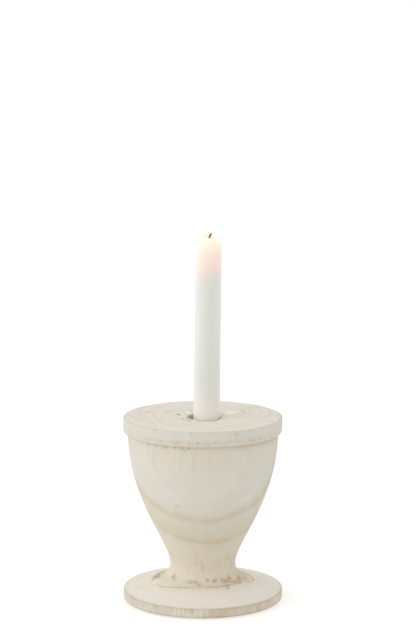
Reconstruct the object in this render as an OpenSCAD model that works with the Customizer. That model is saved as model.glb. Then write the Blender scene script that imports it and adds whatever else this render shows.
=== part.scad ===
// Turned wooden candlestick: a wide head disc on a bowl-shaped body, a round foot
// disc under it, and one plain candle standing loose in the socket.
// The origin is the centre of the plane that the felt pads stand on, and +Z is up.

/* [Head] */
// Diameter of the head disc
head_d = 129.4; // [124:0.1:134]
// Thickness of the head disc
head_h = 12.5; // [10:0.1:14]
// Radius of the rounding on the head's top edge
head_edge_r = 1.2; // [0.4:0.1:3]
// How far the head's lower edge is drawn in
head_draw_in = 1.3; // [0:0.1:2]
// Height over which the head's lower edge is drawn in
head_draw_h = 4; // [2:0.5:6]

/* [Socket] */
// Diameter of the candle socket
socket_d = 27.5; // [26:0.1:30]
// Depth of the socket below the head's top
socket_depth = 28; // [22:0.5:34]
// Sideways offset of the socket from the turning axis
socket_x = 1; // [-1.5:0.1:1.5]
// Diameter of the shallow worn dish round the socket
dish_d = 52; // [40:1:60]
// Depth of the dish at the socket's edge
dish_depth = 0.9; // [0.2:0.1:1.5]

/* [Bowl] */
// Diameter of the bowl just under the head
bowl_d = 122.2; // [116:0.1:124]
// Height of the bowl, from the foot's top to the head's underside
bowl_h = 121.2; // [110:0.1:130]
// Diameter of the neck, the bowl's narrowest place
neck_d = 53.6; // [48:0.1:58]
// Height of the neck above the foot's top
neck_h = 11.4; // [9:0.1:14]
// How far the curve leaves the bowl's upper edge straight down
upper_pull = 56.5; // [45:0.5:65]
// How far the curve leaves the neck straight up
lower_pull = 17.5; // [12:0.5:22]

/* [Foot] */
// Diameter of the foot disc
foot_d = 130.2; // [124:0.1:136]
// Height of the foot's top where the stem meets it
foot_h = 17.2; // [15:0.1:19]
// Height of the foot's outer face
foot_edge_h = 7.9; // [6:0.1:9]
// Slope of the foot's top at its outer edge, in degrees
edge_slope = 12; // [6:0.5:14]
// Slope of the foot's top where it meets the stem, in degrees
stem_slope = 20; // [18:0.5:26]
// Radius of the rounding on the foot's lower edge
foot_edge_r = 1.4; // [0.4:0.1:2.5]
// Radius of the rounding on the foot's upper edge
foot_top_edge_r = 0.6; // [0.3:0.1:1]

/* [Joints] */
// Diameter of the stem's base, which sits in a recess in the foot
stem_base_d = 68; // [64:1:72]
// Depth of the recess in the foot
recess_depth = 3; // [2:0.5:4]
// Diameter of the bowl's spigot, which enters the head's underside
spigot_d = 70; // [60:1:90]
// Height of the spigot
spigot_h = 4; // [3:0.5:6]
// Diameter of the stem dowel
dowel_d = 12; // [8:1:16]
// Length of the stem dowel
dowel_l = 30; // [24:1:34]
// How far the dowel enters the foot
dowel_in_foot = 9; // [6:0.5:10]
// Glue gap round the glued joints
glue_gap = 0.05; // [0.02:0.01:0.1]

/* [Pads] */
// Diameter of one felt pad
pad_d = 14; // [10:1:18]
// Thickness of the felt
pad_h = 1; // [0.5:0.5:3]
// Radius of the circle that the pads stand on
pad_circle_r = 50; // [40:1:54]
// Number of pads
pad_count = 4; // [3:1:6]

/* [Candle] */
// Diameter of the candle at its base
candle_d = 21.6; // [20:0.1:22.2]
// Diameter of the candle at its top
candle_top_d = 21.2; // [19:0.1:22]
// Length of the candle
candle_l = 176.5; // [60:0.5:250]
// Sideways place of the candle's base
candle_x = 3; // [0:0.1:3]
// Lean of the candle towards +X, in degrees
lean = 0.64; // [0:0.01:0.7]
// Depth of the melted hollow in the candle's top
melt_depth = 2; // [0.5:0.1:4]
// Diameter of the wick
wick_d = 1.7; // [1:0.1:2.5]
// Length of the wick above the melted hollow
wick_out = 3; // [3:0.5:10]

/* [Hidden] */
pale_wood = [0.86, 0.84, 0.78];
foot_wood = [0.85, 0.82, 0.75];
beech = [0.80, 0.66, 0.47];
felt = [0.42, 0.38, 0.33];
wax = [0.92, 0.91, 0.87];
char = [0.20, 0.10, 0.06];
fine = 180;             // steps round a turned piece
curve_steps = 28;       // steps along a free curve
arc_steps = 6;          // steps along a rounded edge
cut = 1;                // how far a cutting solid runs past a face
end_play = 0.5;         // empty depth left beyond each end of the dowel
dowel_chamfer = 1;
foot_z = pad_h;
stem_z = foot_z + foot_h;
neck_z = stem_z + neck_h;
head_z = stem_z + bowl_h;
top_z = head_z + head_h;
floor_z = top_z - socket_depth;
head_r = head_d / 2;
bowl_r = bowl_d / 2;
neck_r = neck_d / 2;
foot_r = foot_d / 2;
stem_base_r = stem_base_d / 2;
// the candle's low side just clears the socket's floor
candle_z = floor_z + candle_d / 2 * sin(lean) + 0.05;
wick_r = wick_d / 2;
wick_gap = 0.05;
wick_start = 4;         // where the wick begins above the candle's base
wick_bend_r = 5;        // radius of the bend at the wick's burnt end
wick_bend = 38;         // its angle in degrees
melt_floor = candle_l - melt_depth;
melt_rim = 0.9;         // width of wax left round the melted hollow

// Point at t on the cubic curve from a to d, with b and c as its handles
function curve_point(a, b, c, d, t) =
    pow(1 - t, 3) * a + 3 * t * pow(1 - t, 2) * b + 3 * t * t * (1 - t) * c + pow(t, 3) * d;

function curve(a, b, c, d, steps) = [for (i = [1:steps]) curve_point(a, b, c, d, i / steps)];

// Rounded corner with the given centre, from one angle to another
function arc(centre, r, from, to) =
    [for (i = [0:arc_steps]) let (a = from + (to - from) * i / arc_steps) centre + r * [cos(a), sin(a)]];

// The stem's hollow corner, from the foot's top up to the neck
stem_corner = curve([stem_base_r, stem_z],
                    [stem_base_r - neck_h * 0.45, stem_z + neck_h * 0.45 * tan(stem_slope)],
                    [neck_r, neck_z - neck_h * 0.45],
                    [neck_r, neck_z], curve_steps / 2);

// The bowl's side, from the neck up to the head
bowl_side = curve([neck_r, neck_z], [neck_r, neck_z + lower_pull],
                  [bowl_r, head_z - upper_pull], [bowl_r, head_z], curve_steps);

// Where the two slopes of the foot's top cross
foot_edge_x = foot_r - foot_top_edge_r;
foot_edge_z = foot_z + foot_edge_h;
cross_x = (stem_z - foot_edge_z + stem_base_r * tan(stem_slope) - foot_edge_x * tan(edge_slope))
    / (tan(stem_slope) - tan(edge_slope));
cross_z = foot_edge_z + (foot_edge_x - cross_x) * tan(edge_slope);

// The foot's hollowed top, from its outer edge in to the stem
foot_top = curve([foot_edge_x, foot_edge_z],
                 ([foot_edge_x, foot_edge_z] + 2 * [cross_x, cross_z]) / 3,
                 ([stem_base_r, stem_z] + 2 * [cross_x, cross_z]) / 3,
                 [stem_base_r, stem_z], curve_steps);

module dowel_hole() {
    translate([0, 0, stem_z - recess_depth - dowel_in_foot - end_play])
        cylinder(h = dowel_l + 2 * end_play, d = dowel_d + 2 * glue_gap, $fn = 48);
}

module socket_bore() {
    translate([socket_x, 0, floor_z])
        cylinder(h = socket_depth + cut, d = socket_d, $fn = fine);
}

module socket_dish() {
    slope = dish_depth / ((dish_d - socket_d) / 2);
    translate([socket_x, 0, top_z - dish_depth])
        cylinder(h = dish_depth + cut, d1 = socket_d, d2 = dish_d + 2 * cut / slope, $fn = fine);
}

module head_disc() {
    color(pale_wood) difference() {
        rotate_extrude($fn = fine) polygon(concat(
            [[0, head_z], [head_r - head_draw_in, head_z]],
            curve([head_r - head_draw_in, head_z], [head_r - head_draw_in / 3, head_z],
                  [head_r, head_z + head_draw_h / 2], [head_r, head_z + head_draw_h], arc_steps),
            arc([head_r - head_edge_r, top_z - head_edge_r], head_edge_r, 0, 90),
            [[0, top_z]]));
        translate([0, 0, head_z - cut])
            cylinder(h = spigot_h + glue_gap + cut, d = spigot_d + 2 * glue_gap, $fn = fine);
        socket_bore();
        socket_dish();
    }
}

module bowl() {
    color(pale_wood) difference() {
        rotate_extrude($fn = fine) polygon(concat(
            [[0, stem_z - recess_depth], [stem_base_r, stem_z - recess_depth], [stem_base_r, stem_z]],
            stem_corner,
            bowl_side,
            [[spigot_d / 2, head_z], [spigot_d / 2, head_z + spigot_h], [0, head_z + spigot_h]]));
        socket_bore();
        dowel_hole();
    }
}

module foot_disc() {
    color(foot_wood) difference() {
        rotate_extrude($fn = fine) polygon(concat(
            [[0, foot_z]],
            arc([foot_r - foot_edge_r, foot_z + foot_edge_r], foot_edge_r, -90, 0),
            arc([foot_edge_x, foot_edge_z - foot_top_edge_r], foot_top_edge_r, 0, 90),
            foot_top,
            [[0, stem_z]]));
        translate([0, 0, stem_z - recess_depth])
            cylinder(h = recess_depth + cut, d = stem_base_d + 2 * glue_gap, $fn = fine);
        dowel_hole();
    }
}

module stem_dowel() {
    r = dowel_d / 2;
    color(beech) translate([0, 0, stem_z - recess_depth - dowel_in_foot]) {
        cylinder(h = dowel_chamfer, r1 = r - dowel_chamfer, r2 = r, $fn = 48);
        translate([0, 0, dowel_chamfer]) cylinder(h = dowel_l - 2 * dowel_chamfer, r = r, $fn = 48);
        translate([0, 0, dowel_l - dowel_chamfer])
            cylinder(h = dowel_chamfer, r1 = r, r2 = r - dowel_chamfer, $fn = 48);
    }
}

module felt_pads() {
    color(felt) for (i = [0:pad_count - 1])
        rotate([0, 0, (i + 0.5) * 360 / pad_count]) translate([pad_circle_r, 0, 0])
            cylinder(h = pad_h, d = pad_d, $fn = 48);
}

// Places its children on the candle's base, leaning as the candle leans
module on_candle() {
    translate([candle_x, 0, candle_z]) rotate([0, lean, 0]) children();
}

module candle() {
    melt_r = candle_top_d / 2 - melt_rim;
    bowl_of_melt_r = (melt_r * melt_r + melt_depth * melt_depth) / (2 * melt_depth);
    color(wax) on_candle() difference() {
        cylinder(h = candle_l, d1 = candle_d, d2 = candle_top_d, $fn = 96);
        translate([0, 0, melt_floor + bowl_of_melt_r]) sphere(r = bowl_of_melt_r, $fn = 96);
        translate([0, 0, wick_start - wick_gap])
            cylinder(h = candle_l, r = wick_r + wick_gap, $fn = 32);
    }
}

module wick() {
    straight = melt_floor + wick_out - wick_bend_r * sin(wick_bend) - wick_start;
    color(char) on_candle() translate([0, 0, wick_start]) {
        cylinder(h = straight, r = wick_r, $fn = 32);
        translate([wick_bend_r, 0, straight]) rotate([90, 0, 180])
            rotate_extrude(angle = wick_bend, $fn = 96) translate([wick_bend_r, 0]) circle(r = wick_r, $fn = 32);
    }
}

head_disc();
bowl();
foot_disc();
stem_dowel();
felt_pads();
candle();
wick();
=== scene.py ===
import math

import bpy
import numpy as np
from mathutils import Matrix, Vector


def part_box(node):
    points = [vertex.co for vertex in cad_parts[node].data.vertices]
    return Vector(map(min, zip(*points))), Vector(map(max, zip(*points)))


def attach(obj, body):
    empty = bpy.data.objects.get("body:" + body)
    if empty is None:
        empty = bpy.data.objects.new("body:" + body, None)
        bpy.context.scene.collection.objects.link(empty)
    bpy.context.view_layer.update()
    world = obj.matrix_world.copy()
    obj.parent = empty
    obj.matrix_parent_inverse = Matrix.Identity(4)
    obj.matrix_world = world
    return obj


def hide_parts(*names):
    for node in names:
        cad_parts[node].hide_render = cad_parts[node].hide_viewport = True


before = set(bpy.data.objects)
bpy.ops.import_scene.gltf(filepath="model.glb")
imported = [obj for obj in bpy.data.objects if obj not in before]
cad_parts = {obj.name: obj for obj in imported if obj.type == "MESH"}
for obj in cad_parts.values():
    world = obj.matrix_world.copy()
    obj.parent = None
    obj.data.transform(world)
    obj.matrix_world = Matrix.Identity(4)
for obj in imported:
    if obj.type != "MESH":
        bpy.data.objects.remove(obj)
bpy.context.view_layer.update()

# A turned wooden candlestick with a whitewashed finish, and the candle that stands in it.
# Lengths are millimetres in the frame's own axes: +X is right, +Y is back and +Z is up.
# Meshes are scaled to metres as they are made. Angles round the turning axis are in
# degrees, with 0 at +X and -90 at the front.
MM = 0.001


# ---------------------------------------------------------------- sizes from the frame

def box_mm(node):
    """The lowest and highest corner of a CAD node, in millimetres."""
    low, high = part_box(node)
    return low / MM, high / MM


head_low, head_high = box_mm("head_disc")
bowl_low, bowl_high = box_mm("bowl")
foot_low, foot_high = box_mm("foot_disc")
dowel_low, dowel_high = box_mm("stem_dowel")
pads_low, pads_high = box_mm("felt_pads")
candle_low, candle_high = box_mm("candle")
wick_low, wick_high = box_mm("wick")

head_r = head_high.x
head_z = head_low.z
top_z = head_high.z
bowl_r = bowl_high.x
foot_r = foot_high.x
foot_z = foot_low.z
stem_z = foot_high.z
dowel_r = dowel_high.x
spigot_z = bowl_high.z

# Sizes of the turned outlines, the same as in the CAD source
HEAD_EDGE_R = 1.2
HEAD_DRAW_IN = 1.3
HEAD_DRAW_H = 4
SOCKET_R = 13.75
SOCKET_DEPTH = 28
SOCKET_X = 1
DISH_R = 26
DISH_DEPTH = 0.9
NECK_R = 26.8
NECK_H = 11.4
UPPER_PULL = 56.5
LOWER_PULL = 17.5
STEM_BASE_R = 34
STEM_SLOPE = math.radians(20)
FOOT_EDGE_H = 7.9
EDGE_SLOPE = math.radians(12)
FOOT_EDGE_R = 1.4
FOOT_TOP_EDGE_R = 0.6
SPIGOT_R = 35
GLUE_GAP = 0.05
END_PLAY = 0.5
PAD_R = 7
PAD_CIRCLE_R = 50
CANDLE_R = 10.8
CANDLE_TOP_R = 10.6
CANDLE_X = 3
LEAN = math.radians(0.64)
WICK_R = 0.85

# Growth rings: the tree's pith runs up behind the turning axis, leaning to the right and back,
# and the tree tapers, so a ring is nearer the pith higher up
PITH_X, PITH_X_LEAN = -5.3, 0.058
PITH_Y, PITH_Y_LEAN = 5.4, 0.05
TAPER, TAPER_START = 0.085, stem_z - 1.2

neck_z = stem_z + NECK_H
recess_z = bowl_low.z
socket_floor_z = top_z - SOCKET_DEPTH


# ---------------------------------------------------------------- repeatable noise

TURNED_R = 60    # radius at which sizes round a turned piece are true


def lattice(x, y, z, seed):
    """A repeatable random number from 0 to 1 for each whole-numbered place."""
    mixed = (x * 374761393 + y * 668265263 + z * 1442695041 + seed * 974634777) & 0xFFFFFFFF
    mixed = ((mixed ^ (mixed >> 13)) * 1274126177) & 0xFFFFFFFF
    return ((mixed ^ (mixed >> 16)) & 0xFFFFFF) / 0xFFFFFF


def noise(points, size, seed):
    """Smooth noise from -1 to 1 with bumps of that size, one number or one for each axis."""
    place = points / np.asarray(size, float)
    cell = np.floor(place).astype(np.int64)
    part = place - cell
    part = part * part * (3 - 2 * part)
    total = np.zeros(len(points))
    for corner in np.ndindex(2, 2, 2):
        share = np.where(np.array(corner), part, 1 - part).prod(axis=1)
        total += share * lattice(*(cell + corner).T, seed)
    return 2 * total - 1


def turned_noise(points, around, along, seed, course=None):
    """Noise for a turned piece, with bumps of those sizes around it and along its course.
    The course is the height, or for a disc the height less the radius, which runs on over its top."""
    radius = np.hypot(points[:, 0], points[:, 1])
    out = points[:, :2] / np.maximum(radius, 1e-6)[:, None] * TURNED_R
    course = points[:, 2] if course is None else course
    return noise(np.column_stack([out, course]), (around, around, along), seed)


# ---------------------------------------------------------------- outlines

def line(start, end, step):
    """Points from start, left out, to end, about step apart."""
    start = np.array(start, float)
    end = np.array(end, float)
    count = max(1, round(float(np.linalg.norm(end - start)) / step))
    return [start + (end - start) * i / count for i in range(1, count + 1)]


def curve(a, b, c, d, count):
    """Points on the cubic curve from a, left out, to d, with b and c as its handles."""
    a, b, c, d = (np.array(p, float) for p in (a, b, c, d))
    spots = [i / count for i in range(1, count + 1)]
    return [(1 - t) ** 3 * a + 3 * t * (1 - t) ** 2 * b + 3 * t * t * (1 - t) * c + t ** 3 * d
            for t in spots]


def arc(centre, radius, start, end, count):
    """Points on a rounded corner from one angle to another, in degrees, the first left out."""
    angles = [math.radians(start + (end - start) * i / count) for i in range(1, count + 1)]
    return [np.array([centre[0] + radius * math.cos(a), centre[1] + radius * math.sin(a)])
            for a in angles]


def bowl_outline():
    """The bowl from the top of its dowel hole, under and up its side, to the socket's floor."""
    hole_r = dowel_r + GLUE_GAP
    hole_z = dowel_high.z + END_PLAY
    return (
        [np.array([0.0, hole_z])]
        + line([0, hole_z], [hole_r, hole_z], 2)
        + line([hole_r, hole_z], [hole_r, recess_z], 4)
        + line([hole_r, recess_z], [STEM_BASE_R, recess_z], 4)
        + line([STEM_BASE_R, recess_z], [STEM_BASE_R, stem_z], 1)
        + curve([STEM_BASE_R, stem_z],
                [STEM_BASE_R - NECK_H * 0.45, stem_z + NECK_H * 0.45 * math.tan(STEM_SLOPE)],
                [NECK_R, neck_z - NECK_H * 0.45], [NECK_R, neck_z], 30)
        + curve([NECK_R, neck_z], [NECK_R, neck_z + LOWER_PULL],
                [bowl_r, head_z - UPPER_PULL], [bowl_r, head_z], 108)
        + line([bowl_r, head_z], [SPIGOT_R, head_z], 13)
        + line([SPIGOT_R, head_z], [SPIGOT_R, spigot_z], 2)
        + line([SPIGOT_R, spigot_z], [SOCKET_R, spigot_z], 7)
        + line([SOCKET_R, spigot_z], [SOCKET_R, socket_floor_z], 2)
        + line([SOCKET_R, socket_floor_z], [0, socket_floor_z], 3)
    )


def head_outline():
    """The head as a closed loop: underside outwards, rim up, top inwards and socket down."""
    seat_z = spigot_z + GLUE_GAP
    seat_r = SPIGOT_R + GLUE_GAP
    lip_r = 0.5
    dish_z = top_z - DISH_DEPTH
    return (
        line([SOCKET_R, seat_z], [seat_r, seat_z], 7)
        + line([seat_r, seat_z], [seat_r, head_z], 2)
        + line([seat_r, head_z], [bowl_r, head_z], 9)
        + line([bowl_r, head_z], [head_r - HEAD_DRAW_IN, head_z], 0.6)
        + curve([head_r - HEAD_DRAW_IN, head_z], [head_r - HEAD_DRAW_IN / 3, head_z],
                [head_r, head_z + HEAD_DRAW_H / 2], [head_r, head_z + HEAD_DRAW_H], 10)
        + line([head_r, head_z + HEAD_DRAW_H], [head_r, top_z - HEAD_EDGE_R], 0.5)
        + arc([head_r - HEAD_EDGE_R, top_z - HEAD_EDGE_R], HEAD_EDGE_R, 0, 90, 6)
        + line([head_r - HEAD_EDGE_R, top_z], [DISH_R, top_z], 0.6)
        + line([DISH_R, top_z], [SOCKET_R + lip_r, dish_z], 0.55)
        + arc([SOCKET_R + lip_r, dish_z - lip_r], lip_r, 90, 180, 4)
        + line([SOCKET_R, dish_z - lip_r], [SOCKET_R, seat_z], 0.9)
    )


def foot_outline():
    """The foot from the middle of its underside, up over its rim, to the end of its dowel hole."""
    edge_r = foot_r - FOOT_TOP_EDGE_R
    edge_z = foot_z + FOOT_EDGE_H
    rise = stem_z - edge_z + STEM_BASE_R * math.tan(STEM_SLOPE) - edge_r * math.tan(EDGE_SLOPE)
    cross_r = rise / (math.tan(STEM_SLOPE) - math.tan(EDGE_SLOPE))
    cross_z = edge_z + (edge_r - cross_r) * math.tan(EDGE_SLOPE)
    handle = 2 / 3
    outer = [edge_r + (cross_r - edge_r) * handle, edge_z + (cross_z - edge_z) * handle]
    inner = [STEM_BASE_R + (cross_r - STEM_BASE_R) * handle, stem_z + (cross_z - stem_z) * handle]
    hole_r = dowel_r + GLUE_GAP
    hole_z = dowel_low.z - END_PLAY
    return (
        [np.array([0.0, foot_z])]
        + line([0, foot_z], [foot_r - FOOT_EDGE_R, foot_z], 3)
        + arc([foot_r - FOOT_EDGE_R, foot_z + FOOT_EDGE_R], FOOT_EDGE_R, -90, 0, 6)
        + line([foot_r, foot_z + FOOT_EDGE_R], [foot_r, edge_z - FOOT_TOP_EDGE_R], 0.4)
        + arc([edge_r, edge_z - FOOT_TOP_EDGE_R], FOOT_TOP_EDGE_R, 0, 90, 4)
        + curve([edge_r, edge_z], outer, inner, [STEM_BASE_R, stem_z], 72)
        + line([STEM_BASE_R, stem_z], [STEM_BASE_R, recess_z], 1.5)
        + line([STEM_BASE_R, recess_z], [hole_r, recess_z], 9)
        + line([hole_r, recess_z], [hole_r, hole_z], 4)
        + line([hole_r, hole_z], [0, hole_z], 3)
    )


# ---------------------------------------------------------------- meshes

CREASE = math.radians(50)    # edges that turn more than this are sharp


def make_piece(name, points, faces, body, replaced, material):
    """A smooth mesh piece from points in millimetres, riding on a body in place of a CAD node."""
    mesh = bpy.data.meshes.new(name)
    mesh.from_pydata((np.asarray(points) * MM).tolist(), [], faces)
    mesh.shade_smooth()
    mesh.set_sharp_from_angle(angle=CREASE)
    mesh.update()
    piece = bpy.data.objects.new(name, mesh)
    bpy.context.scene.collection.objects.link(piece)
    mesh.materials.append(material)
    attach(piece, body)
    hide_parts(replaced)
    return piece


def loft(rings, closed=False):
    """Points and faces through rings of equal length. A ring of one point closes an end."""
    starts = np.cumsum([0] + [len(ring) for ring in rings])
    faces = []
    pairs = list(range(len(rings) - 1))
    ends = [(i, i + 1) for i in pairs] + ([(len(rings) - 1, 0)] if closed else [])
    for a, b in ends:
        count = max(len(rings[a]), len(rings[b]))
        for j in range(count):
            k = (j + 1) % count
            if len(rings[a]) == 1:
                faces.append((starts[a], starts[b] + k, starts[b] + j))
            elif len(rings[b]) == 1:
                faces.append((starts[a] + j, starts[a] + k, starts[b]))
            else:
                faces.append((starts[a] + j, starts[a] + k, starts[b] + k, starts[b] + j))
    return np.vstack(rings), [tuple(int(v) for v in face) for face in faces]


def turned_rings(outline, segments, shift):
    """A ring round the turning axis for each point of the outline. shift(r, z) moves a ring in X."""
    angles = np.arange(segments) * 2 * math.pi / segments
    rings = []
    for r, z in outline:
        spin = angles if r > 0 else angles[:1]
        x = shift(r, z) + r * np.cos(spin)
        rings.append(np.column_stack([x, r * np.sin(spin), np.full(len(spin), z)]))
    return rings


def socket_shift(r, z):
    """Rings move from the turning axis to the socket's own axis between the rim and the dish."""
    if z < socket_floor_z - 1:
        return 0.0
    outer = SPIGOT_R if z < top_z - 2 else head_r - 4
    inner = SOCKET_R if z < top_z - 2 else DISH_R
    return SOCKET_X * min(1.0, max(0.0, (outer - r) / (outer - inner)))


def normals_of(points, faces):
    """Each point's own direction out of the surface."""
    mesh = bpy.data.meshes.new("measure")
    mesh.from_pydata(points.tolist(), [], faces)
    found = np.empty(len(points) * 3, np.float32)
    mesh.vertex_normals.foreach_get("vector", found)
    bpy.data.meshes.remove(mesh)
    return found.reshape(-1, 3).astype(float)


def paint(piece, marks):
    """Stores marks, a 0 to 1 number for each point under each name, for the materials to read."""
    for name, values in marks.items():
        attribute = piece.data.attributes.new(name, "FLOAT", "POINT")
        attribute.data.foreach_set("value", np.clip(values, 0, 1).astype(np.float32))


# ---------------------------------------------------------------- marks on the wood

def step_up(value, low, high):
    """0 below low, 1 above high and smooth between."""
    t = np.clip((value - low) / (high - low), 0, 1)
    return t * t * (3 - 2 * t)


def window(value, low, high, soft):
    """1 from low to high, falling to 0 within soft outside them."""
    return step_up(value, low - soft, low) * (1 - step_up(value, high, high + soft))


def bump_at(value, middle, width):
    """A smooth bump of height 1 at middle."""
    return np.exp(-((value - middle) / width) ** 2)


def polar(points):
    """Distance from the turning axis and angle in degrees."""
    radius = np.hypot(points[:, 0], points[:, 1])
    return radius, np.degrees(np.arctan2(points[:, 1], points[:, 0]))


def spots(points, places, ragged=0.35, seed=11):
    """Ragged round spots, each (x, y, radius) in plan or (x, y, z, radius) in space."""
    edge = 1 + ragged * noise(points, 0.9, seed)
    total = np.zeros(len(points))
    for *place, radius in places:
        gap = np.linalg.norm(points[:, :len(place)] - np.array(place), axis=1)
        total = np.maximum(total, np.exp(-(gap * edge / radius) ** 2))
    return total


def stroke(points, path, width):
    """A soft line in plan through the points of a path."""
    plan = points[:, :2]
    nearest = np.full(len(points), np.inf)
    for a, b in zip(path[:-1], path[1:]):
        a, b = np.array(a, float), np.array(b, float)
        share = np.clip((plan - a) @ (b - a) / ((b - a) @ (b - a)), 0, 1)
        gap = np.linalg.norm(plan - a - share[:, None] * (b - a), axis=1)
        nearest = np.minimum(nearest, gap)
    return np.exp(-(nearest / width) ** 2)


def stem_height(radius):
    """Height of the surface at a distance from the axis, over the foot's top and the stem's corner."""
    outer = [p for p in foot_outline() if p[1] > foot_z + FOOT_EDGE_H and p[0] >= STEM_BASE_R]
    corner = [p for p in bowl_outline() if stem_z < p[1] <= neck_z]
    both = sorted((p[0], p[1]) for p in outer + corner)
    return float(np.interp(radius, *zip(*both)))


def scatter(rng, middle, spread, distance, depth, size, count):
    """Small torn holes, (x, y, z, radius), about an angle and a distance from the axis."""
    found = []
    for _ in range(count):
        angle = math.radians(middle + spread * rng.uniform(-1, 1))
        reach = distance + depth * rng.uniform(-1, 1)
        radius = size * rng.uniform(0.4, 1.05)
        found.append((reach * math.cos(angle), reach * math.sin(angle), stem_height(reach), radius))
    return found


# Torn grain round the stem: the places seen at the front, and a like scatter behind. Each is
# its angle, spread, distance from the axis, spread of the distance, hole size and count.
TORN_GROUPS = [
    (-106, 12, 30.2, 0.9, 0.45, 30),
    (-95, 2, 31.4, 0.8, 0.7, 4),
    (-82, 2, 29.0, 0.6, 0.75, 4),
    (-71, 3, 29.2, 0.6, 0.9, 5),
    (-48, 10, 30.5, 2.0, 0.8, 28),
    (-59, 4, 37.0, 2.5, 0.7, 12),
    (-28, 12, 33.5, 3.0, 0.8, 18),
    (-2, 9, 33.0, 3.0, 0.7, 12),
    (-144, 5, 29.2, 0.8, 0.8, 6),
    (177, 9, 38.5, 3.2, 1.0, 34),
    (160, 9, 37.5, 3.0, 0.9, 26),
    (128, 16, 31.0, 2.0, 0.7, 18),
    (85, 22, 30.5, 1.8, 0.6, 26),
    (40, 16, 33.5, 3.0, 0.8, 20),
]


def torn_holes():
    """Every torn hole of every group."""
    rng = np.random.default_rng(5)
    holes = []
    for group in TORN_GROUPS:
        holes += scatter(rng, *group)
    return holes


TORN_HOLES = torn_holes()
HALO_SIZE = 2.4          # radius of the stain about a hole, in radii of the hole
KNOT_EYE = (34, -2)      # middle of the round knot at the right of the stem, in plan
LEFT_KNOT = [(-38, 2, 2.5), (-37, 10, 2.5), (-33, 14, 2), (-36, -4, 1.6)]    # x, y, radius


def ring_place(points):
    """Distance from the tree's pith less its taper, which says which growth ring a point is in."""
    x, y, z = points.T
    distance = np.hypot(x - PITH_X - PITH_X_LEAN * z, y - PITH_Y - PITH_Y_LEAN * z)
    return distance - TAPER * (z - TAPER_START)


def stem_marks(points):
    """Torn holes round the foot of the stem, and the rusty stain and knots about them, which cross
    from the foot to the stem."""
    holes = spots(points, TORN_HOLES, 0.5)
    halo = spots(points, [(x, y, z, r * HALO_SIZE) for x, y, z, r in TORN_HOLES], 0.5, 12)
    x, y, z = points.T
    low = 1 - step_up(z, neck_z - 5, neck_z - 1)
    from_eye = np.hypot(x - KNOT_EYE[0], (y - KNOT_EYE[1]) / 1.6) + 0.5 * noise(points, 3, 47)
    eye = (bump_at(from_eye, 7.2, 0.9) + 0.5 * bump_at(from_eye, 4.6, 0.6)
           + 0.35 * bump_at(from_eye, 0, 2))
    left_knot = spots(points, LEFT_KNOT, 0.5)
    eye = eye * (0.7 + 0.3 * noise(points, 4, 46))
    return holes, 0.5 * halo + low * (0.75 * eye + 0.7 * left_knot)


def flat_top_light(points):
    """How much painted light lightens the foot's top where it flattens out from the stem."""
    radius = np.hypot(points[:, 0], points[:, 1])
    return step_up(radius, STEM_BASE_R - 4, STEM_BASE_R + 9) * (points[:, 2] < neck_z)


# Rust-coloured blotches round the neck: angle, height and size
NECK_BLOTCHES = [
    (-126, 10, 1.6), (-103, 7, 1.5), (-90, 3, 1.3), (-71, 7, 1.6), (-62, 10, 1.8), (-45, 10, 1.5),
    (-55, 18, 1.6), (-98, 14, 1.5), (-140, 16, 1.4), (150, 8, 1.7), (112, 14, 1.6), (70, 6, 1.5),
    (38, 15, 1.7), (5, 9, 1.6),
]


def neck_blotches(points):
    """The rust-coloured blotches round the neck."""
    places = []
    for angle, height, size in NECK_BLOTCHES:
        a = math.radians(angle)
        places.append((NECK_R * math.cos(a), NECK_R * math.sin(a), neck_z + height - 1, size))
    return spots(points, places, 0.6)


# Growth rings that show as lines on the head's top: strength, width and path in plan
HEAD_LINES = [
    (0.4, 0.9, [(50, -6), (46, -13), (38, -22), (24, -38), (12, -49), (6, -57)]),
    (0.35, 1.3, [(27, 4), (30, 14), (33, 24), (40, 33)]),
    (0.3, 1.1, [(-32, -26), (-37, -12), (-40, 8), (-42, 18)]),
    (0.3, 1.3, [(-44, -6), (-47, 6), (-45, 16), (-41, 26)]),
    (0.25, 1.3, [(20, 44), (36, 36), (46, 24), (52, 8)]),
]
HEAD_GROOVE = [(-25, -4), (-20, -8), (-14, -14.5), (-7, -17)]

# Spots on the head: x, y and radius in plan, or x, y, z and radius in space
HEAD_SMEARS = [(-54, 31, 3.5), (-46, 18, 3), (-51, 38, 2.5), (-30, 22, 3), (15.5, 11, 2.5),
               (15.5, 3, 2)]
SMOOTH_PATCH = (23, 13, 7)
RIM_SMUDGES = [(26.7, -59, head_z + 9.6, 1.6), (-9.5, -64, top_z - 1.5, 1.2)]
# A painted hole on the rim's front, and painted shade at the right edge of the socket's mouth
HEAD_HOLE_AND_SHADE_SPOTS = [(-4, -64.6, head_z + 3.6, 0.8), (14.8, -3.5, top_z - 1, 1.7)]

LIP_GAP = 0.15           # left between the candle and the worn mouth of the socket


def rim_marks(points, course):
    """The fringe of fibres along the head's rim, painted shade along the rim's lower edge below it, and
    a darker patch at its right.
    """
    radius, angle = polar(points)
    z = points[:, 2]
    face = window(z, head_z, top_z - 2, 0.8) * step_up(radius, head_r - 2, head_r - 1)
    wobble = 0.9 * turned_noise(points, 5, 20, 21)
    dashes = step_up(turned_noise(points, 1.6, 3, 22, course), -0.5, 0.5)
    ticks = step_up(turned_noise(points, 0.9, 5, 27, course), -0.2, 0.5)
    front = 0.25 + 0.75 * window(angle, -128, -50, 14)
    broken = (0.4 + 0.6 * ticks) * (0.6 + 0.4 * dashes)
    fringe = bump_at(z, head_z + 3.5 + wobble, 1.4) * face * front * broken
    # Painted shade along the head's lower edge, where it overhangs the bowl
    lower = bump_at(z, head_z + 0.3, 0.7) * (0.4 + 0.4 * dashes)
    right = bump_at(angle, -32, 9) * window(z, head_z + 2, head_z + 7, 1.5) * face * dashes
    return fringe, 0.45 * lower + 0.15 * right, wobble


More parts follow.
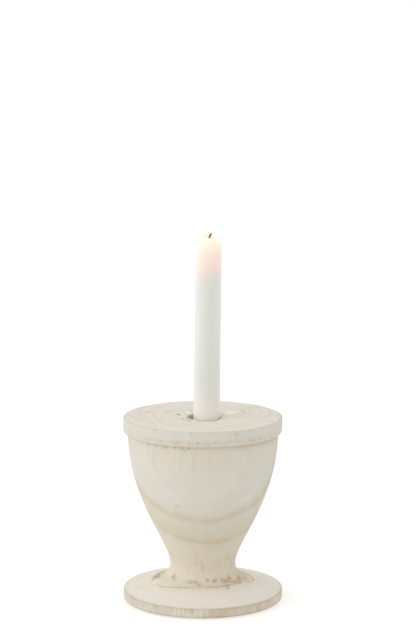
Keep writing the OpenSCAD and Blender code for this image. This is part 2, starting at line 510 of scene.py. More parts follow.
def torn_by_socket(points, from_socket, course):
    """Torn fibres left of the socket: raised strands, the gaps between them and the deepest gaps."""
    angle = polar(points)[1]
    reach = SOCKET_R + 9 + 6 * turned_noise(points, 9, 200, 29)
    torn = (1 - step_up(from_socket, reach - 3, reach)) * window(np.abs(angle), 118, 200, 12)
    comb = 0.7 * turned_noise(points, 4.5, 9, 24, course) + 0.6 * noise(points, 2.2, 30)
    gaps = step_up(-comb, 0.0, 0.3) * torn
    return step_up(comb, 0.0, 0.25) * torn, gaps, gaps * step_up(-comb, 0.4, 0.9)


def pressed_mouth(points, from_socket):
    """How the socket's mouth is worn down and pressed in, almost to the candle, at the front
    and right."""
    x, y, z = points.T
    angle = polar(points)[1]
    near = 1 - step_up(from_socket, SOCKET_R, SOCKET_R + 7)
    worn_down = 1.8 * near * window(angle, -112, -40, 28) * step_up(z, top_z - 12, top_z - 2)
    lip = bump_at(z, top_z - DISH_DEPTH, 2.2) * (1 - step_up(from_socket, SOCKET_R + 0.8, SOCKET_R + 4))
    ahead = np.arctan2(y, x - SOCKET_X)
    off = CANDLE_X + LEAN * SOCKET_DEPTH - SOCKET_X
    gap = SOCKET_R - off * np.cos(ahead) - np.sqrt(CANDLE_R ** 2 - (off * np.sin(ahead)) ** 2)
    pressed = (gap - LIP_GAP) * lip * window(np.degrees(ahead), -108, 10, 30) * (z > spigot_z + 1)
    inward = pressed / np.maximum(from_socket, 1)
    return -np.column_stack([inward * (x - SOCKET_X), inward * y, worn_down])


def head_marks(points, normals):
    """Marks on the head: fringe and worn edge, ring lines, torn fibres and smears on its top."""
    radius = polar(points)[0]
    x, y, z = points.T
    course = z - radius
    top = step_up(z, top_z - 2.5, top_z - 1.2) * (radius > SOCKET_R)
    from_socket = np.hypot(x - SOCKET_X, y)
    fringe, rim_shade_and_patch, wobble = rim_marks(points, course)

    wander = points + [1.2, 1.2, 0] * noise(points, 6, 28)[:, None]
    groove = stroke(points, HEAD_GROOVE, 1.0)
    lines = sum(strength * stroke(wander, path, width) for strength, width, path in HEAD_LINES)
    lines = lines + 0.7 * groove
    patchy = 0.55 + 0.45 * noise(points, 4, 23)
    stain = top * patchy * (lines + 0.6 * spots(points, HEAD_SMEARS, 0.5))

    # The gaps between the torn strands take painted shade, darkest in the deepest gaps
    strands, gaps, deep = torn_by_socket(points, from_socket, course)
    smooth_patch = top * spots(points, [SMOOTH_PATCH], 0.2)
    # Painted light: the socket's wall near its mouth is lightened against its own shadow, with a brown
    # tint
    mouth = window(z, top_z - 12, top_z - 1.5, 2) * (from_socket < SOCKET_R + 0.3)
    edge = bump_at(z, top_z - 0.4, 0.7) * bump_at(radius, head_r - 0.5, 0.9)
    worn = edge * step_up(turned_noise(points, 5, 8, 25, course), 0.1, 0.7)
    offset = (0.1 * wobble + top * (0.9 * strands - 0.6 * gaps - 0.5 * groove)
              - 0.1 * top * lines - 0.15 * fringe - 0.2 * worn
              + 0.05 * turned_noise(points, 2, 2, 26, course))
    marks = {"stain": stain + 0.75 * fringe + rim_shade_and_patch + 0.35 * worn + 0.8 * top * gaps
             + 0.35 * mouth,
             "pit": 0.6 * spots(points, HEAD_HOLE_AND_SHADE_SPOTS, 0.3) + 0.2 * spots(points, RIM_SMUDGES)
             + 0.3 * top * deep,
             "chalk": top * strands + 0.9 * smooth_patch + 0.5 * mouth,
             "painted_top_light": top * (1 - step_up(radius, head_r - 2.2, head_r - 1.0)) + mouth}
    seated = window(z, head_z - 1, spigot_z + 1, 0.1) * (radius < bowl_r + 0.5)
    move = normals * (offset * (1 - seated))[:, None]
    return move + pressed_mouth(points, from_socket), marks


# Torn spots in a row just under the head: x, y, height below the head and radius
RIM_TEARS = [(-43, -43, 1.4, 1.0), (-37, -48.5, 1.4, 0.7), (-29, -54, 1.4, 1.2),
             (-22, -57, 1.4, 1.0), (-16, -59, 1.4, 1.0), (-11, -60, 1.4, 1.0),
             (-32, -52, 2.6, 0.6), (-14, -59.5, 3.3, 0.6)]
BOWL_KNOT = (-20.5, -47.4, foot_z + 87, 1.5)    # x, y, z, radius
RUSTY_RING = 41.8        # ring_place of the ring that shows as a line on the bowl


def bowl_marks(points, normals):
    """Marks on the bowl: torn spots and painted shade under the rim, knot, ring line, mottles and holes.
    """
    radius, angle = polar(points)
    z = points[:, 2]
    side = window(z, stem_z, head_z, 0.3) * step_up(radius, 20, 25)
    dashes = step_up(turned_noise(points, 2.5, 3, 34), -0.4, 0.6)
    # Painted shade under the head's overhanging rim, deeper at the right-front
    under = bump_at(z, head_z - 0.4, 0.9) * (0.5 + 0.5 * dashes)
    right = window(angle, -62, -18, 10) * bump_at(z, head_z - 1.5, 2.5)
    tears = spots(points, [(x, y, head_z - drop, r) for x, y, drop, r in RIM_TEARS], 0.6)
    knot = spots(points, [BOWL_KNOT], 0.5)
    threads = turned_noise(points, 2.6, 18, 31)
    mottle = turned_noise(points, 7, 8, 32) + 0.6 * turned_noise(points, 3, 5, 35)
    mottle = step_up(mottle, -0.1, 1.0)
    neck = 0.5 * window(z, neck_z - 3, neck_z + 16, 7) * mottle + 1.4 * neck_blotches(points)
    ring = bump_at(ring_place(points) + 0.4 * turned_noise(points, 12, 12, 36),
                   RUSTY_RING, 0.9)
    ring_line = ring * (0.15 + 0.85 * window(angle, -114, -64, 22)) * (0.6 + 0.4 * dashes)
    upper = window(z, head_z - 18, head_z, 6) * window(angle, -135, -70, 20)
    upper = upper * step_up(threads, 0.0, 0.8)
    holes, halo = stem_marks(points)
    offset = (0.25 * turned_noise(points, 45, 40, 33) - 0.45 * holes - 0.3 * tears
              - 0.2 * knot + 0.03 * threads - 0.05 * ring_line)
    marks = {"stain": side * (0.3 * under + 0.32 * right + 0.25 * neck + halo + 0.3 * knot
                              + 0.3 * ring_line + 0.14 * upper),
             "pit": side * (0.42 * holes + 0.5 * tears + 0.1 * knot),
             "chalk": np.zeros(len(points)),
             "painted_top_light": flat_top_light(points)}
    free = side * window(z, stem_z + 0.5, head_z - 0.8, 0.4)
    return normals * (offset * free)[:, None], marks


# Ring lines on the foot's top, as paths in plan, and pale brown blotches: x, y, radius
FOOT_RING = [(-37, -17), (-34, -24), (-23, -30.5), (-12, -34), (5, -34.5), (14, -32.5), (24, -26),
             (31, -17)]
FOOT_OUTER_RING = [(-44, 0), (-42, -16), (-30, -32), (-12, -42), (8, -44), (26, -36), (40, -20)]
FOOT_BLOTCHES = [(-52.5, -13, 2.5), (-50, 20, 3)]


def foot_marks(points, normals):
    """Marks on the foot: worn rim, painted shade along its lower edge, saw strokes on its face, ring
    line, knot eyes and holes.
    """
    radius, angle = polar(points)
    z = points[:, 2]
    course = z - radius
    edge_z = foot_z + FOOT_EDGE_H
    top = step_up(z, edge_z - 0.3, edge_z + 0.5) * (radius > STEM_BASE_R + 0.01)
    face = window(z, foot_z + 0.6, edge_z - 0.5, 0.6) * step_up(radius, foot_r - 1.2, foot_r - 0.4)
    patchy = 0.6 + 0.4 * turned_noise(points, 7, 9, 41, course)
    edge = bump_at(z, edge_z - 0.5, 0.6) * step_up(radius, foot_r - 1.5, foot_r - 0.8)
    # Painted shade along the foot's lower edge, down by the floor
    under = bump_at(z, foot_z + 0.5, 0.8) * (radius > foot_r - 3)
    strokes = turned_noise(points, 0.8, 9, 42) + 0.4 * turned_noise(points, 4, 6, 45)
    strokes = step_up(strokes, -0.1, 0.7)
    patch = turned_noise(points, 6, 7, 48)
    sawn = window(angle, -109, -89, 4) * face * (0.6 + 0.4 * patch)
    dark = bump_at(angle, -79, 5) + 0.7 * bump_at(angle, -56, 3)
    dashes = step_up(turned_noise(points, 1.8, 3, 49, course), -0.4, 0.5)
    ring = stroke(points, FOOT_RING, 0.8)
    outer = stroke(points, FOOT_OUTER_RING, 2.0)
    blotch = spots(points, FOOT_BLOTCHES, 0.5)
    holes, halo = stem_marks(points)
    offset = (0.2 * turned_noise(points, 40, 30, 43) * face
              + 0.1 * turned_noise(points, 30, 12, 44, course) * top
              - 0.5 * holes * top - 0.1 * ring * top - 0.12 * strokes * face
              - 0.25 * edge * patchy - 0.1 * halo * top)
    marks = {"stain": (top * (0.95 * ring * (0.35 + 0.65 * dashes) + 0.06 * outer + halo + 0.25 * blotch)
                       + 0.8 * edge * patchy + 0.4 * under + strokes * (0.2 * face + 0.25 * sawn)
                       + face * (0.03 + 0.3 * dark + 0.22 * step_up(patch, 0.1, 0.7))),
             "pit": top * 0.42 * holes + 0.2 * under + 0.06 * face,
             "chalk": (0.3 * sawn + 0.25 * face * step_up(-patch, 0.1, 0.7)) * (1 - strokes),
             "painted_top_light": top * flat_top_light(points)}
    free = (1 - step_up(z, stem_z - 0.6, stem_z - 0.2)) * (z > foot_z + 0.05)
    return normals * (offset * free)[:, None], marks


# ---------------------------------------------------------------- materials

def srgb(red, green, blue):
    """The linear colour of 0 to 255 screen values."""
    return [((value / 255 + 0.055) / 1.055) ** 2.4 for value in (red, green, blue)] + [1.0]


class Nodes:
    """Short calls for making one material's nodes. A socket may be given a value or a link."""

    def __init__(self, name):
        self.material = bpy.data.materials.new(name)
        self.material.use_nodes = True
        self.tree = self.material.node_tree
        self.shader = self.tree.nodes["Principled BSDF"]

    def set(self, node, sockets):
        for socket, value in sockets.items():
            if isinstance(value, bpy.types.NodeSocket):
                self.tree.links.new(value, node.inputs[socket])
            else:
                node.inputs[socket].default_value = value

    def add(self, kind, sockets, **settings):
        node = self.tree.nodes.new("ShaderNode" + kind)
        for name, value in settings.items():
            setattr(node, name, value)
        self.set(node, sockets)
        return node

    def math(self, operation, first, second=0.0):
        return self.add("Math", {0: first, 1: second}, operation=operation).outputs[0]

    def between(self, value, low, high, start=0.0, end=1.0):
        """value from low to high becomes start to end, smoothly, and stays there outside."""
        sockets = {"Value": value, "From Min": low, "From Max": high, "To Min": start, "To Max": end}
        return self.add("MapRange", sockets, interpolation_type="SMOOTHSTEP").outputs["Result"]

    def place(self, scale=(1, 1, 1)):
        """The surface's own coordinates in millimetres, times scale."""
        source = self.add("TexCoord", {}).outputs["Object"]
        factor = [s / MM for s in scale]
        return self.add("VectorMath", {0: source, 1: factor}, operation="MULTIPLY").outputs[0]

    def noise(self, size, stretch=(1, 1, 1), detail=3.0, roughness=0.55):
        """Noise from 0 to 1 with bumps of about size millimetres, stretched along each axis."""
        scale = [1 / (size * s) for s in stretch]
        sockets = {"Vector": self.place(scale), "Scale": 1.0, "Detail": detail,
                   "Roughness": roughness}
        return self.add("TexNoise", sockets).outputs[0]

    def mark(self, name):
        """A mark stored on the mesh by paint()."""
        return self.add("Attribute", {}, attribute_name=name).outputs["Fac"]

    def mix(self, factor, first, second):
        """A colour that goes from first to second as factor goes from 0 to 1."""
        return self.add("Mix", {0: factor, 6: first, 7: second}, data_type="RGBA").outputs[2]

    def ramp(self, value, stops):
        node = self.add("ValToRGB", {"Fac": value})
        elements = node.color_ramp.elements
        while len(elements) < len(stops):
            elements.new(0.5)
        for element, (position, colour) in zip(elements, stops):
            element.position = position
            element.color = colour
        return node.outputs["Color"]

    def bump(self, height, depth):
        """A normal for a height of 0 to 1 that stands for depth millimetres."""
        sockets = {"Height": height, "Strength": 1.0, "Distance": depth * MM}
        return self.add("Bump", sockets).outputs["Normal"]


# Wood colours by ring_place, from the pith outwards
RING_REACH = 80
RING_WIDTH = 3.1         # of the plain growth rings between the coloured ones
STREAK_STEPS = 2.6       # steps of the streaks' noise in one radian round the pith
STREAK_WIDTH = 2.2
# The colours from 26 to 39.5 are painted lighter than the wood to make up for the shade round the neck,
# under the bowl
RING_COLOURS = [  # place, colour
    (0, (203, 197, 182)), (20, (206, 198, 180)), (26, (214, 204, 184)), (31, (214, 200, 178)),
    (37, (210, 200, 180)), (39.5, (205, 196, 175)), (42, (195, 181, 156)), (44.5, (197, 186, 162)),
    (49.5, (201, 193, 173)), (51.5, (187, 174, 151)), (53.5, (202, 194, 176)),
    (55.5, (202, 198, 186)), (61, (202, 198, 185)), (62.5, (203, 197, 180)), (65, (199, 194, 180)),
    (75, (198, 192, 176)),
]
WASH_COLOUR = (202, 199, 190)
# Painted light: the tops are lightened towards this colour for the light that falls on them
TOP_LIGHT_COLOUR = (226, 222, 211)
LATE_WOOD_COLOUR = (196, 178, 150)
THREAD_COLOUR = (192, 179, 154)
DARK_STREAK_COLOUR = (198, 182, 156)
LIGHT_STREAK_COLOUR = (228, 224, 214)
CHALK_COLOUR = (234, 230, 220)
# Brown of stains, also used as painted shade under the head's rim, along the foot's lower edge and in
# the torn gaps
STAIN_AND_SHADE_COLOUR = (184, 151, 102)
# Dark brown of bare, torn wood, with painted shade in the holes, tears and gaps and along the foot's
# lower edge
PIT_AND_SHADE_COLOUR = (146, 104, 56)


def ring_distance(nodes):
    """Distance from the pith in millimetres, made uneven, and fine streaks that run along the rings."""
    source = nodes.add("SeparateXYZ", {"Vector": nodes.place()})
    x, y, z = source.outputs
    across = nodes.math("SUBTRACT", x, nodes.math("MULTIPLY", z, PITH_X_LEAN))
    tree_x = nodes.math("SUBTRACT", across, PITH_X)
    along = nodes.math("SUBTRACT", y, nodes.math("MULTIPLY", z, PITH_Y_LEAN))
    tree_y = nodes.math("SUBTRACT", along, PITH_Y)
    squares = nodes.math("ADD", nodes.math("MULTIPLY", tree_x, tree_x),
                         nodes.math("MULTIPLY", tree_y, tree_y))
    distance = nodes.math("SQRT", squares)
    taper = nodes.math("MULTIPLY", nodes.math("SUBTRACT", z, TAPER_START), TAPER)
    broad = nodes.math("MULTIPLY", nodes.math("SUBTRACT", nodes.noise(24, (1, 1, 2), 1), 0.5), 2.4)
    fine = nodes.math("MULTIPLY", nodes.math("SUBTRACT", nodes.noise(7, detail=2), 0.5), 0.8)
    uneven = nodes.math("ADD", broad, fine)
    place = nodes.math("ADD", nodes.math("SUBTRACT", distance, taper), uneven)
    round_x = nodes.math("MULTIPLY", nodes.math("DIVIDE", tree_x, distance), STREAK_STEPS)
    round_y = nodes.math("MULTIPLY", nodes.math("DIVIDE", tree_y, distance), STREAK_STEPS)
    along_ring = nodes.add("CombineXYZ", {"X": round_x, "Y": round_y,
                                          "Z": nodes.math("DIVIDE", place, STREAK_WIDTH)})
    sockets = {"Vector": along_ring.outputs[0], "Scale": 1.0, "Detail": 4.0, "Roughness": 0.6}
    return place, nodes.add("TexNoise", sockets).outputs[0]


def bare_wood(nodes, distance, fibre, on_top):
    """The wood's colour with its growth rings, which show more on the tops, and its threads."""
    share = nodes.math("DIVIDE", distance, RING_REACH)
    wood = nodes.ramp(share, [(d / RING_REACH, srgb(*colour)) for d, colour in RING_COLOURS])
    wave = nodes.math("SINE", nodes.math("MULTIPLY", distance, 2 * math.pi / RING_WIDTH))
    late = nodes.between(wave, 0.0, 1.0)
    shown = nodes.math("ADD", nodes.math("MULTIPLY", on_top, 0.5), 0.08)
    patches = nodes.between(nodes.noise(13), 0.35, 0.7, 0.2, 1.0)
    late = nodes.math("MULTIPLY", nodes.math("MULTIPLY", late, shown), patches)
    wood = nodes.mix(late, wood, srgb(*LATE_WOOD_COLOUR))
    threads = nodes.between(fibre, 0.52, 0.78, 0.0, 0.22)
    return nodes.mix(threads, wood, srgb(*THREAD_COLOUR))


def streaked_top(nodes, colour, streaks, on_top, strength):
    """Dark and light streaks along the rings, strongest on the tops."""
    seen = nodes.between(on_top, 0.0, 1.0, 0.3 * strength, strength)
    dark = nodes.math("MULTIPLY", nodes.between(streaks, 0.5, 0.66), seen)
    colour = nodes.mix(dark, colour, srgb(*DARK_STREAK_COLOUR))
    light = nodes.math("MULTIPLY", nodes.between(streaks, 0.48, 0.34), seen)
    return nodes.mix(light, colour, srgb(*LIGHT_STREAK_COLOUR))


def marked(nodes, colour):
    """The chalk, stain and pit marks stored on the mesh, over a colour. The stain and pit marks carry
    painted shade as well as stains and holes, and the chalk mark painted light in the socket's mouth.
    """
    colour = nodes.mix(nodes.mark("chalk"), colour, srgb(*CHALK_COLOUR))
    broken = nodes.between(nodes.noise(1.6), 0.3, 0.65, 0.6, 1.0)
    stain = nodes.math("MULTIPLY", nodes.mark("stain"), broken)
    colour = nodes.mix(stain, colour, srgb(*STAIN_AND_SHADE_COLOUR))
    return nodes.mix(nodes.mark("pit"), colour, srgb(*PIT_AND_SHADE_COLOUR))


def whitewashed_wood(name, wash, painted_top_light, streaked):
    """Pale wood under a thin white wash, with painted light on its tops. wash says how much the wash
    hides the wood on the sides, painted_top_light how much the painted light lightens the tops, and
    streaked how strong the streaks along the rings are on the tops."""
    nodes = Nodes(name)
    distance, streaks = ring_distance(nodes)
    on_top = nodes.mark("painted_top_light")
    fibre = nodes.noise(0.9, (1, 1, 22), detail=4)
    wood = bare_wood(nodes, distance, fibre, on_top)
    brush = nodes.noise(6, (1, 1, 2.2), detail=3)
    cover = nodes.between(brush, 0.3, 0.7, 0.4 * wash, wash)
    colour = nodes.mix(cover, wood, srgb(*WASH_COLOUR))
    # Painted light on the tops
    colour = nodes.mix(nodes.math("MULTIPLY", on_top, painted_top_light), colour, srgb(*TOP_LIGHT_COLOUR))
    colour = marked(nodes, streaked_top(nodes, colour, streaks, on_top, streaked))
    pores = nodes.noise(0.35, (1, 1, 3), detail=2)
    height = nodes.math("ADD", nodes.math("MULTIPLY", fibre, 0.7), nodes.math("MULTIPLY", pores, 0.3))
    roughness = nodes.between(brush, 0.2, 0.8, 0.82, 0.68)
    nodes.set(nodes.shader, {"Base Color": colour, "Roughness": roughness,
                             "Specular IOR Level": 0.3, "Normal": nodes.bump(height, 0.15)})
    return nodes.material


def beech():
    """The dowel's close-grained beech, with short dark flecks along the grain."""
    nodes = Nodes("beech")
    fibre = nodes.noise(0.7, (1, 1, 18), detail=4)
    colour = nodes.ramp(fibre, [(0.3, srgb(190, 152, 108)), (0.55, srgb(212, 178, 134)),
                                (0.75, srgb(222, 192, 150))])
    flecks = nodes.between(nodes.noise(0.5, (1, 1, 6), detail=1), 0.62, 0.7, 0.0, 0.7)
    colour = nodes.mix(flecks, colour, srgb(150, 108, 68))
    roughness = nodes.between(fibre, 0.3, 0.7, 0.7, 0.55)
    nodes.set(nodes.shader, {"Base Color": colour, "Roughness": roughness,
                             "Normal": nodes.bump(fibre, 0.15)})
    return nodes.material


def felt():
    """Pressed wool felt: matted fibres in two browns with paler hairs."""
    nodes = Nodes("felt")
    matted = nodes.noise(0.7, detail=5, roughness=0.7)
    colour = nodes.ramp(matted, [(0.35, srgb(132, 122, 108)), (0.5, srgb(164, 154, 138)),
                                 (0.68, srgb(192, 182, 166))])
    hairs = nodes.between(nodes.noise(0.22, (6, 1, 1), detail=2), 0.6, 0.75, 0.0, 0.5)
    colour = nodes.mix(hairs, colour, srgb(214, 206, 192))
    nodes.set(nodes.shader, {"Base Color": colour, "Roughness": nodes.between(matted, 0, 1, 0.9, 1.0),
                             "Sheen Weight": 0.3, "Sheen Roughness": 0.6,
                             "Normal": nodes.bump(matted, 0.35)})
    return nodes.material


# Wax colours by depth below the candle's top in millimetres
WAX_REACH = 160
# Painted light: the warm pale colours down to 31 stand for light from a flame that is not made, and the
# lighter colours from 147.2 down make up for the shade in the socket
WAX_COLOURS = [  # depth, colour
    (0, (239, 229, 213)), (9, (238, 226, 210)), (14, (237, 220, 208)), (23, (232, 215, 204)),
    (31, (221, 211, 204)), (38, (211, 210, 205)), (120, (211, 211, 205)), (147.2, (226, 224, 217)),
    (160, (233, 231, 225)),
]


def wax():
    """White candle wax, with painted warm light and a painted glow near the burning end, where no flame
    is made, and painted light low down where the socket shades it.
    """
    nodes = Nodes("wax")
    source = nodes.add("SeparateXYZ", {"Vector": nodes.place()})
    depth = nodes.math("SUBTRACT", candle_high.z, source.outputs["Z"])
    cloudy = nodes.noise(9, (1, 1, 3), detail=3)
    down = nodes.math("ADD", depth, nodes.math("MULTIPLY", nodes.math("SUBTRACT", cloudy, 0.5), 3.0))
    share = nodes.math("DIVIDE", down, WAX_REACH)
    colour = nodes.ramp(share, [(d / WAX_REACH, srgb(*shade)) for d, shade in WAX_COLOURS])
    streaks = nodes.noise(1.4, (1, 1, 30), detail=2)
    colour = nodes.mix(nodes.between(streaks, 0.5, 0.8, 0.0, 0.12), colour, srgb(210, 208, 198))
    # Painted glow: the wax near the top gives off a warm light of its own
    glow = nodes.between(down, 0, 26, 0.05, 0.0)
    marks = nodes.noise(2.5, detail=4)
    nodes.set(nodes.shader, {"Base Color": colour, "Subsurface Weight": 1.0,
                             "Subsurface Radius": (1.0, 0.95, 0.88), "Subsurface Scale": 14 * MM,
                             "Specular IOR Level": 0.2,
                             "Roughness": nodes.between(marks, 0.3, 0.7, 0.52, 0.66),
                             "Emission Color": srgb(255, 236, 208), "Emission Strength": glow,
                             "Normal": nodes.bump(marks, 0.1)})
    return nodes.material


def charred_cotton():
    """The wick's braided cotton: pale inside the wax and charred dark brown where it has burnt."""
    nodes = Nodes("charred_cotton")
    source = nodes.add("SeparateXYZ", {"Vector": nodes.place()})
    yarn = nodes.noise(0.3, (1, 1, 3), detail=3)
    above = nodes.math("SUBTRACT", source.outputs["Z"], wick_high.z)
    height = nodes.math("ADD", above, nodes.math("MULTIPLY", yarn, 1.5))
    burnt = nodes.between(height, -8.0, -5.5)
    char = nodes.mix(yarn, srgb(104, 38, 12), srgb(206, 104, 48))
    colour = nodes.mix(burnt, srgb(226, 214, 190), char)
    nodes.set(nodes.shader, {"Base Color": colour, "Roughness": nodes.between(yarn, 0, 1, 0.8, 0.95),
                             "Normal": nodes.bump(yarn, 0.15)})
    return nodes.material


def floor_paper():
    """Plain pale paper with an even glow, which keeps the shadow on it faint."""
    nodes = Nodes("floor_paper")
    tooth = nodes.noise(4, detail=2)
    colour = nodes.mix(tooth, srgb(186, 186, 186), srgb(190, 190, 189))
    nodes.set(nodes.shader, {"Base Color": colour, "Roughness": 0.9, "Specular IOR Level": 0.1,
                             "Emission Color": (1, 1, 1, 1), "Emission Strength": 0.53})
    return nodes.material


# ---------------------------------------------------------------- pieces

def make_turned(name, outline, segments, marker, body, node, material, closed=False):
    """One turned piece: its rings, pushed in and out by its marks, which it also carries."""
    points, faces = loft(turned_rings(outline, segments, socket_shift), closed)
    move, marks = marker(points, normals_of(points, faces))
    piece = make_piece(name, points + move, faces, body, node, material)
    paint(piece, marks)
    return piece


def on_candle(points):
    """Points given along an upright candle, leant and slightly bowed as the real one is."""
    height = points[:, 2]
    length = candle_high.z - candle_low.z
    bow = -0.25 * np.sin(np.pi * np.clip(height / length, 0, 1))
    x = CANDLE_X + points[:, 0] * math.cos(LEAN) + height * math.sin(LEAN) + bow
    z = candle_low.z + (CANDLE_R - points[:, 0]) * math.sin(LEAN) + height * math.cos(LEAN)
    return np.column_stack([x, points[:, 1], z])


# Sizes of the candle's ends
BASE_ROUND = 0.8
RIM_EDGE = 0.55          # radius of the thin wall left standing round the burnt end
LIP_OUT = 1.5            # how far the lip on the right stands out
POOL_DEPTH = 3.6
POOL_STEEPNESS = 2.6
WICK_HOLE_R = WICK_R + 0.1
WICK_HOLE_FLOOR = 4.0
WICK_MOUND = 0.6         # wax drawn up round the wick


def candle_rings():
    """Rings of an upright candle whose burnt end slopes down to a lip on its right."""
    segments = 128
    spin = np.arange(segments) * 2 * math.pi / segments
    cos, sin = np.cos(spin), np.sin(spin)
    length = candle_high.z - candle_low.z
    rim = length - 1.0 - 1.9 * cos + 1.25 * sin + 0.2 * np.sin(3 * spin + 1) + 0.1 * np.sin(7 * spin)
    shoulder = rim - RIM_EDGE
    pool = length - POOL_DEPTH
    lip = np.exp(-(np.angle(np.exp(1j * spin)) / 0.5) ** 2)
    rings = []

    def ring(radius, height):
        radius, height = np.broadcast_to(radius, segments), np.broadcast_to(height, segments)
        rings.append(np.column_stack([radius * cos, radius * sin, height]))

    rings.append(np.array([[0.0, 0.0, 0.0]]))
    for r in (3, 6, CANDLE_R - BASE_ROUND):
        ring(r, 0)
    for i in range(1, 6):
        a = math.radians(90 * i / 5)
        ring(CANDLE_R - BASE_ROUND + BASE_ROUND * math.sin(a), BASE_ROUND * (1 - math.cos(a)))
    rows = 150
    for i in range(1, rows + 1):
        t = i / rows
        height = BASE_ROUND + (shoulder - BASE_ROUND) * t
        swell = lip * LIP_OUT * np.exp(-((shoulder - height) / 1.4) ** 2)
        ring(CANDLE_R + (CANDLE_TOP_R - CANDLE_R) * t + swell, height)
    top_r = CANDLE_TOP_R + LIP_OUT * lip
    for i in range(1, 9):
        a = math.radians(180 * i / 8)
        ring(top_r - RIM_EDGE + RIM_EDGE * math.cos(a), shoulder + RIM_EDGE * math.sin(a))
    inner_r = top_r - 2 * RIM_EDGE
    for i in range(1, 27):
        t = i / 26
        fall = (1 - t) ** POOL_STEEPNESS
        climb = WICK_MOUND * math.exp(-((1 - t) / 0.12) ** 2)
        ring(inner_r + (WICK_HOLE_R - inner_r) * t, pool + (shoulder - pool) * fall + climb)
    mound = pool + WICK_MOUND
    for i in range(1, 31):
        ring(WICK_HOLE_R, mound + (WICK_HOLE_FLOOR - mound) * i / 30)
    rings.append(np.array([[0.0, 0.0, WICK_HOLE_FLOOR]]))
    return rings


def make_candle():
    """The candle, with the slight unevenness of dipped wax."""
    points, faces = loft(candle_rings())
    radius = np.hypot(points[:, 0], points[:, 1])
    outside = step_up(radius, CANDLE_TOP_R - 1.5, CANDLE_TOP_R - 0.4)
    uneven = (0.07 * noise(points, (7, 7, 40), 51) + 0.03 * noise(points, (3, 3, 60), 52)) * outside
    pitted = 0.06 * noise(points, 2.5, 53) * outside
    moved = on_candle(points + normals_of(points, faces) * (uneven + pitted)[:, None])
    return make_piece("candle_wax", moved, faces, "candle", "candle", wax())


STRAND_R = 0.44
STRAND_PITCH = 3.4       # length in which a strand turns once round the wick


def wick_line():
    """The middle of the wick along an upright candle, straight and then bent over to the right."""
    start = wick_low.z - candle_low.z
    end = wick_high.z - candle_low.z
    bend_from = end - 6
    upright = [np.array([0, 0, z]) for z in np.arange(start, bend_from, 0.45)]
    bend = curve([0, bend_from], [0.1, bend_from + 2], [1.0, end - 2.6], [2.1, end - 1], 14)
    return np.array(upright + [np.array([x, 0.0, z]) for x, z in bend])


def make_wick():
    """Three cotton strands twisted round each other."""
    sides = 10
    middle = wick_line()
    ahead = np.gradient(middle, axis=0)
    ahead /= np.linalg.norm(ahead, axis=1)[:, None]
    across = np.tile([0.0, 1.0, 0.0], (len(middle), 1))
    upward = np.cross(ahead, across)
    travelled = np.concatenate([[0], np.cumsum(np.linalg.norm(np.diff(middle, axis=0), axis=1))])
    points, faces = [], []
    for strand in range(3):
        turn = travelled * 2 * math.pi / STRAND_PITCH + strand * 2 * math.pi / 3
        out = across * np.cos(turn)[:, None] + upward * np.sin(turn)[:, None]
        line_at = middle + out * (WICK_R - STRAND_R)
        rings = [line_at[:1]]
        for i, centre in enumerate(line_at):
            left = len(line_at) - 1 - i
            thick = STRAND_R * min(1.0, 0.45 + 0.2 * left) * min(1.0, 0.45 + 0.2 * i)
            angles = np.arange(sides) * 2 * math.pi / sides
            rings.append(centre + thick * (np.cos(angles)[:, None] * across[i]
                                           - np.sin(angles)[:, None] * upward[i]))
        rings.append(line_at[-1:] + ahead[-1] * 0.2)
        made, sheets = loft(rings)
        base = sum(len(p) for p in points)
        points.append(made)
        faces += [tuple(v + base for v in face) for face in sheets]
    moved = on_candle(np.vstack(points))
    return make_piece("wick_strands", moved, faces, "candle", "wick",
                      charred_cotton())


def make_pads():
    """Four round felt pads with soft, slightly fuzzy edges."""
    thickness = pads_high.z - pads_low.z
    edge = 0.45
    outline = (
        [np.array([0.0, 0.0])] + line([0, 0], [PAD_R - edge, 0], 0.6)
        + arc([PAD_R - edge, edge], edge, -90, 0, 4)
        + line([PAD_R, edge], [PAD_R, thickness - edge], 0.3)
        + arc([PAD_R - edge, thickness - edge], edge, 0, 90, 4)
        + line([PAD_R - edge, thickness], [0, thickness], 0.6)
    )
    disc, disc_faces = loft(turned_rings(outline, 96, lambda r, z: 0.0))
    points, faces = [], []
    for i in range(4):
        angle = math.radians(45 + 90 * i)
        middle = np.array([math.cos(angle), math.sin(angle), 0]) * PAD_CIRCLE_R
        placed = disc + middle
        fuzz = 0.16 * noise(placed, 0.8, 61) * window(disc[:, 2], 0.1, thickness - 0.1, 0.05)
        out = disc / np.maximum(np.linalg.norm(disc, axis=1), 1e-6)[:, None]
        out[:, 2] = 0
        faces += [tuple(v + len(disc) * i for v in face) for face in disc_faces]
        points.append(placed + out * fuzz[:, None])
    return make_piece("felt_discs", np.vstack(points), faces, "holder", "felt_pads", felt())


# ---------------------------------------------------------------- camera, light and floor

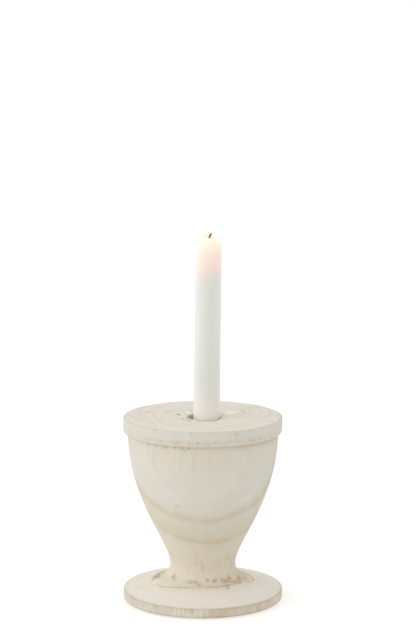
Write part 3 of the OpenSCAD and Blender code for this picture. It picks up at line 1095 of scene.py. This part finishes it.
CAMERA_PLACE = Vector((4.2, -1700.5, foot_z + 498.6)) * MM
CAMERA_PITCH = math.radians(8.78)
LENS = 122.8
FLOOR_HALF = 150
WORLD_LIGHT = 1.0
SUN_STRENGTH = 1.0
SUN_SPREAD = math.radians(60)
SUN_FROM = Vector((-0.94, -0.25, 0.22))


def make_camera():
    data = bpy.data.cameras.new("camera")
    data.lens = LENS
    data.clip_end = 4 * FLOOR_HALF
    camera = bpy.data.objects.new("camera", data)
    camera.location = CAMERA_PLACE
    camera.rotation_euler = (math.pi / 2 - CAMERA_PITCH, 0, 0)
    bpy.context.scene.collection.objects.link(camera)
    bpy.context.scene.camera = camera


def make_light():
    world = bpy.data.worlds.new("studio")
    world.use_nodes = True
    background = world.node_tree.nodes["Background"]
    background.inputs["Color"].default_value = (1, 1, 1, 1)
    background.inputs["Strength"].default_value = WORLD_LIGHT
    bpy.context.scene.world = world
    data = bpy.data.lights.new("softbox", "SUN")
    data.energy = SUN_STRENGTH
    data.angle = SUN_SPREAD
    sun = bpy.data.objects.new("softbox", data)
    sun.rotation_euler = SUN_FROM.to_track_quat("Z", "Y").to_euler()
    bpy.context.scene.collection.objects.link(sun)
    bpy.context.scene.view_settings.view_transform = "Standard"


def make_floor():
    mesh = bpy.data.meshes.new("floor")
    side = FLOOR_HALF
    corners = [(-side, -side, 0), (side, -side, 0), (side, side, 0), (-side, side, 0)]
    mesh.from_pydata(corners, [], [(0, 1, 2, 3)])
    mesh.materials.append(floor_paper())
    floor = bpy.data.objects.new("floor", mesh)
    bpy.context.scene.collection.objects.link(floor)


make_camera()
make_light()
make_floor()
make_turned("head_turned", head_outline(), 640, head_marks, "holder", "head_disc",
            whitewashed_wood("head_whitewash", 0.85, 0.6, 0.34), closed=True)
make_turned("bowl_turned", bowl_outline(), 560, bowl_marks, "holder", "bowl",
            whitewashed_wood("bowl_whitewash", 0.45, 0.8, 0.35))
make_turned("foot_turned", foot_outline(), 720, foot_marks, "holder", "foot_disc",
            whitewashed_wood("foot_whitewash", 0.5, 0.8, 0.15))
make_candle()
make_wick()
make_pads()
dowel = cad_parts["stem_dowel"]
dowel.data.materials.clear()
dowel.data.materials.append(beech())
